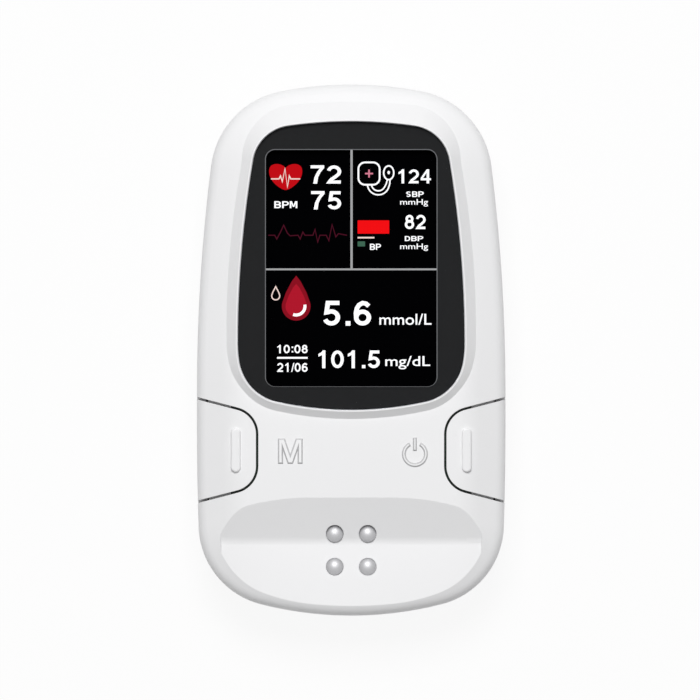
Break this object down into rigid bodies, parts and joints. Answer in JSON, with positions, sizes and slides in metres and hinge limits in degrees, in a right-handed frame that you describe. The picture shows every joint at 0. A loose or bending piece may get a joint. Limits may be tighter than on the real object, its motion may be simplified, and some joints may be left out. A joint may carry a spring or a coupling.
{
  "type": "blood glucose meter",
  "caption": "Hand-held blood glucose meter with a black-bordered display, wrap-round side keys, a finger scoop with metal electrode domes, and a sliding battery door.",
  "frame": {"origin": "middle of the flat back of the case, on the plane that it rests on", "axes": "+Z out of the display, +Y towards the display end of the case, +X to the right of a reader"},
  "size_m": [0.0582, 0.1, 0.0214],
  "materials": {
    "case_plastic": "white moulded ABS, satin gloss",
    "key_plastic": "white moulded ABS, satin gloss",
    "clear_acrylic": "clear acrylic, polished",
    "black_ink": "black printed border",
    "adhesive_tape": "thin black acrylic tape",
    "gasket_foam": "closed-cell foam",
    "display_glass": "dark display glass, lit readings",
    "backlight_tray": "white light-guide tray",
    "flex_film": "amber polyimide film",
    "connector_plastic": "moulded nylon",
    "circuit_board": "green solder mask on glass-epoxy",
    "chip_black": "black moulded epoxy",
    "crystal_can": "drawn metal can",
    "ferrite": "grey ferrite",
    "chip_ceramic": "fired ceramic",
    "switch_body": "black nylon",
    "plunger_plastic": "red nylon stem",
    "stainless": "satin stainless steel",
    "nickel_spring": "nickel-plated spring steel",
    "cell_jacket": "printed steel can",
    "screw_steel": "zinc-plated steel"
  },
  "bodies": {
    "case": {"front_shell": "case_plastic", "rear_shell": "case_plastic", "display_lens": "clear_acrylic", "lens_mask": "black_ink", "lens_tape": "adhesive_tape", "lcd_gasket": "gasket_foam", "lcd_panel": "display_glass", "lcd_backlight": "backlight_tray", "lcd_flex": "flex_film", "lcd_connector": "connector_plastic", "mode_switch": "switch_body", "power_switch": "switch_body", "electrode_contacts": "nickel_spring", "sensor_board": "circuit_board", "measurement_chip": "chip_black", "sensor_flex": "flex_film", "main_board": "circuit_board", "microcontroller": "chip_black", "crystal": "crystal_can", "buzzer": "chip_black", "power_inductor": "ferrite", "chip_capacitors": "chip_ceramic", "battery_left": "cell_jacket", "battery_right": "cell_jacket", "negative_contact": "nickel_spring", "positive_contact": "nickel_spring", "bridge_contact": "nickel_spring", "case_screws": "screw_steel", "board_screws": "screw_steel", "sensor_board_screws": "screw_steel", "electrode_upper_left": "stainless", "electrode_upper_right": "stainless", "electrode_lower_left": "stainless", "electrode_lower_right": "stainless"},
    "mode_button": {"mode_key": "key_plastic", "mode_switch_plunger": "plunger_plastic"},
    "power_button": {"power_key": "key_plastic", "power_switch_plunger": "plunger_plastic"},
    "door": {"battery_door": "case_plastic"}
  },
  "joints": [
    {"name": "mode_press", "type": "slide", "parent": "case", "child": "mode_button", "axis": [0, 0, -1], "range_m": [0, 0.0003], "stiffness_N_per_m": 2000},
    {"name": "power_press", "type": "slide", "parent": "case", "child": "power_button", "axis": [0, 0, -1], "range_m": [0, 0.0003], "stiffness_N_per_m": 2000},
    {"name": "door_slide", "type": "slide", "parent": "case", "child": "door", "axis": [0, -1, 0], "range_m": [0, 0.053]}
  ]
}
